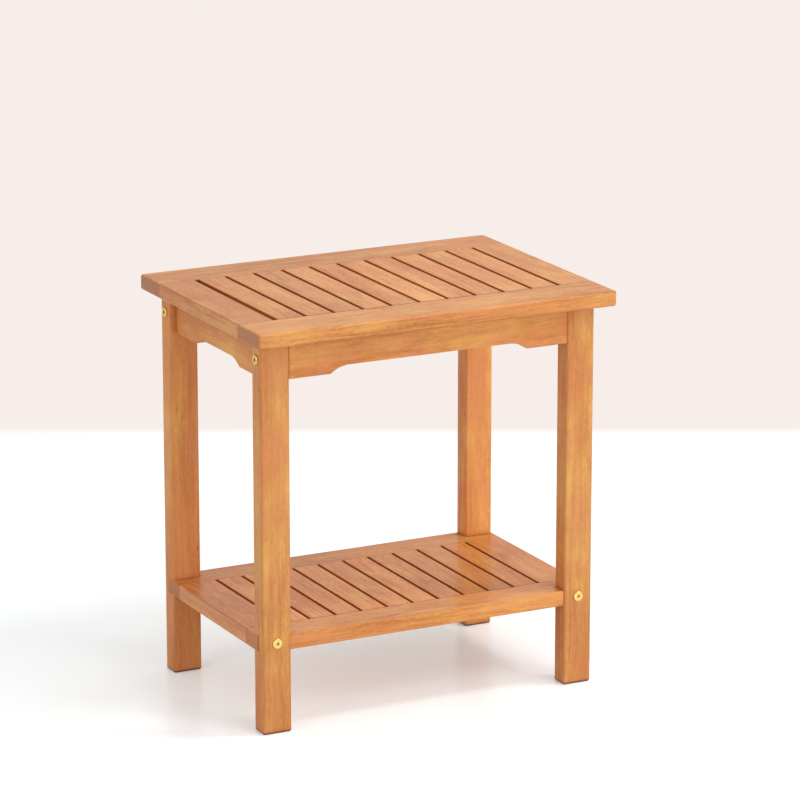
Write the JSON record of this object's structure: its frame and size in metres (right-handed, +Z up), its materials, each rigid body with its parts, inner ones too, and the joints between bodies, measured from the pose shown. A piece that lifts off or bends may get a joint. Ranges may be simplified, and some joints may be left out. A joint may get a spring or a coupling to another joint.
{
  "type": "end table with shelf",
  "caption": "Small rectangular wooden side table with a slatted top, a slatted lower shelf, arched aprons and bolted legs.",
  "frame": {"origin": "on the floor under the middle of the tabletop", "axes": "+Z up, X along the table's length with the left end at -X, +Y from front to back"},
  "size_m": [0.4952, 0.3556, 0.5207],
  "materials": {
    "top_board": "oiled, satin",
    "shelf_board": "oiled, satin",
    "leg_board": "oiled, satin",
    "apron_board": "oiled, satin",
    "dowel_beech": "bare",
    "brass_bolt": "plated, satin",
    "zinc_steel": "zinc plated"
  },
  "bodies": {
    "root": {"apron_barrel_nuts": "zinc_steel", "apron_bolts": "brass_bolt", "back_apron": "apron_board", "back_left_leg": "leg_board", "back_right_leg": "leg_board", "front_apron": "apron_board", "front_left_leg": "leg_board", "front_right_leg": "leg_board", "left_apron": "apron_board", "long_apron_dowels": "dowel_beech", "right_apron": "apron_board", "shelf_back_rail": "shelf_board", "shelf_barrel_nuts": "zinc_steel", "shelf_bolts": "brass_bolt", "shelf_front_rail": "shelf_board", "shelf_left_end_rail": "shelf_board", "shelf_right_end_rail": "shelf_board", "shelf_slat_01": "shelf_board", "shelf_slat_02": "shelf_board", "shelf_slat_03": "shelf_board", "shelf_slat_04": "shelf_board", "shelf_slat_05": "shelf_board", "shelf_slat_06": "shelf_board", "shelf_slat_07": "shelf_board", "shelf_slat_08": "shelf_board", "shelf_slat_09": "shelf_board", "shelf_slat_10": "shelf_board", "side_apron_dowels": "dowel_beech", "top_back_rail": "top_board", "top_front_rail": "top_board", "top_left_end_rail": "top_board", "top_right_end_rail": "top_board", "top_screws": "zinc_steel", "top_slat_01": "top_board", "top_slat_02": "top_board", "top_slat_03": "top_board", "top_slat_04": "top_board", "top_slat_05": "top_board", "top_slat_06": "top_board", "top_slat_07": "top_board", "top_slat_08": "top_board", "top_slat_09": "top_board", "top_slat_10": "top_board"}
  },
  "joints": []
}
